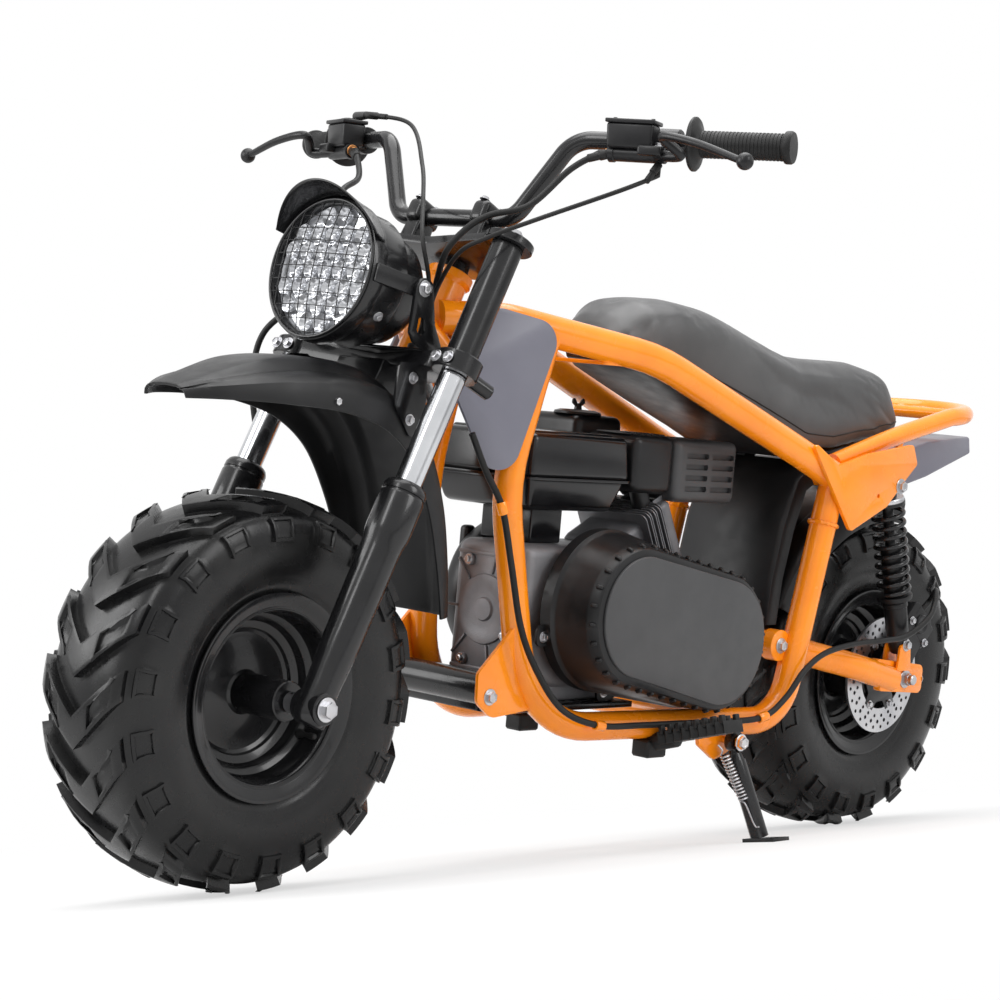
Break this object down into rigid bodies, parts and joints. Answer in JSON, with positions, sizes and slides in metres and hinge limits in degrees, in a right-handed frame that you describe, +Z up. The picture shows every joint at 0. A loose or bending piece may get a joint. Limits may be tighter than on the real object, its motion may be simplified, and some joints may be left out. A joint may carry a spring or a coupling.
{
  "type": "minibike",
  "caption": "Fat-tyred minibike with an open single-cylinder engine in a tubular frame, leaning on its side stand.",
  "frame": {"origin": "centre of the bounding box's base, on the floor", "axes": "+X forwards along the bike, +Y to the rider's left, +Z up from the floor; the bike leans 11.5 degrees to +Y on its side stand"},
  "size_m": [1.666, 0.864, 1.0203],
  "materials": {
    "bright_steel": "bright steel",
    "cast_alloy": "raw cast alloy",
    "chrome": "polished chrome",
    "cover_grey": "matt grey pressed steel",
    "dark_plastic": "dark grey moulded plastic",
    "gloss_black_paint": "gloss black paint",
    "lamp_lens": "clear lamp lens over its reflectors",
    "orange_paint": "gloss orange paint",
    "plate_grey": "smooth grey panel",
    "rubber": "black rubber",
    "satin_black": "satin black coating",
    "seat_vinyl": "dark grey grained vinyl",
    "tyre_rubber": "black tyre rubber"
  },
  "bodies": {
    "frame": {"belt_cover": "satin_black", "belt_cover_face": "cover_grey", "drive_chain": "bright_steel", "engine_block": "cast_alloy", "engine_plate": "satin_black", "foot_peg_left": "rubber", "foot_peg_right": "rubber", "frame_loop_left": "orange_paint", "frame_loop_right": "orange_paint", "fuel_tank": "satin_black", "head_tube": "orange_paint", "inner_fender": "dark_plastic", "muffler": "satin_black", "muffler_guard": "cover_grey", "number_plate_left": "plate_grey", "number_plate_right": "plate_grey", "rear_axle": "bright_steel", "rear_brake_hose": "rubber", "rear_caliper": "satin_black", "rear_rack": "orange_paint", "recoil_starter": "satin_black", "seat": "seat_vinyl", "seat_pan": "satin_black", "shock_left": "satin_black", "shock_right": "satin_black", "shock_spring_left": "gloss_black_paint", "shock_spring_right": "gloss_black_paint", "stand_bracket": "orange_paint", "swingarm": "orange_paint", "tail_fender": "plate_grey", "upper_rail_left": "orange_paint", "upper_rail_right": "orange_paint"},
    "steering": {"brake_control_left": "satin_black", "brake_control_right": "satin_black", "control_cables": "rubber", "fork_slider_left": "gloss_black_paint", "fork_slider_right": "gloss_black_paint", "front_axle": "bright_steel", "front_brake_hose": "rubber", "front_fender": "dark_plastic", "grip_left": "rubber", "grip_right": "rubber", "handlebar": "gloss_black_paint", "headlamp_bowl": "gloss_black_paint", "headlamp_guard": "gloss_black_paint", "headlamp_lens": "lamp_lens", "lower_clamp": "gloss_black_paint", "stanchion_left": "chrome", "stanchion_right": "chrome"},
    "front_wheel": {"front_brake_disc": "bright_steel", "front_rim": "gloss_black_paint", "front_tyre": "tyre_rubber"},
    "rear_wheel": {"rear_brake_disc": "bright_steel", "rear_rim": "gloss_black_paint", "rear_sprocket": "bright_steel", "rear_tyre": "tyre_rubber"},
    "side_stand": {"side_stand_leg": "gloss_black_paint"}
  },
  "joints": [
    {"name": "steering_turn", "type": "hinge", "parent": "frame", "child": "steering", "pos_m": [0.54107, -0.13755, 0.21422], "axis": [-0.4226, 0.1807, 0.8881], "range_deg": [-35, 35]},
    {"name": "front_wheel_turn", "type": "hinge", "parent": "steering", "child": "front_wheel", "pos_m": [0.59545, -0.13249, 0.23907], "axis": [0, 0.9799, -0.1994], "continuous": true},
    {"name": "rear_wheel_turn", "type": "hinge", "parent": "frame", "child": "rear_wheel", "pos_m": [-0.59455, -0.13249, 0.23907], "axis": [0, 0.9799, -0.1994], "continuous": true},
    {"name": "side_stand_fold", "type": "hinge", "parent": "frame", "child": "side_stand", "pos_m": [-0.18155, 0.002, 0.13772], "axis": [0, 0.9799, -0.1994], "range_deg": [0, 75]}
  ]
}
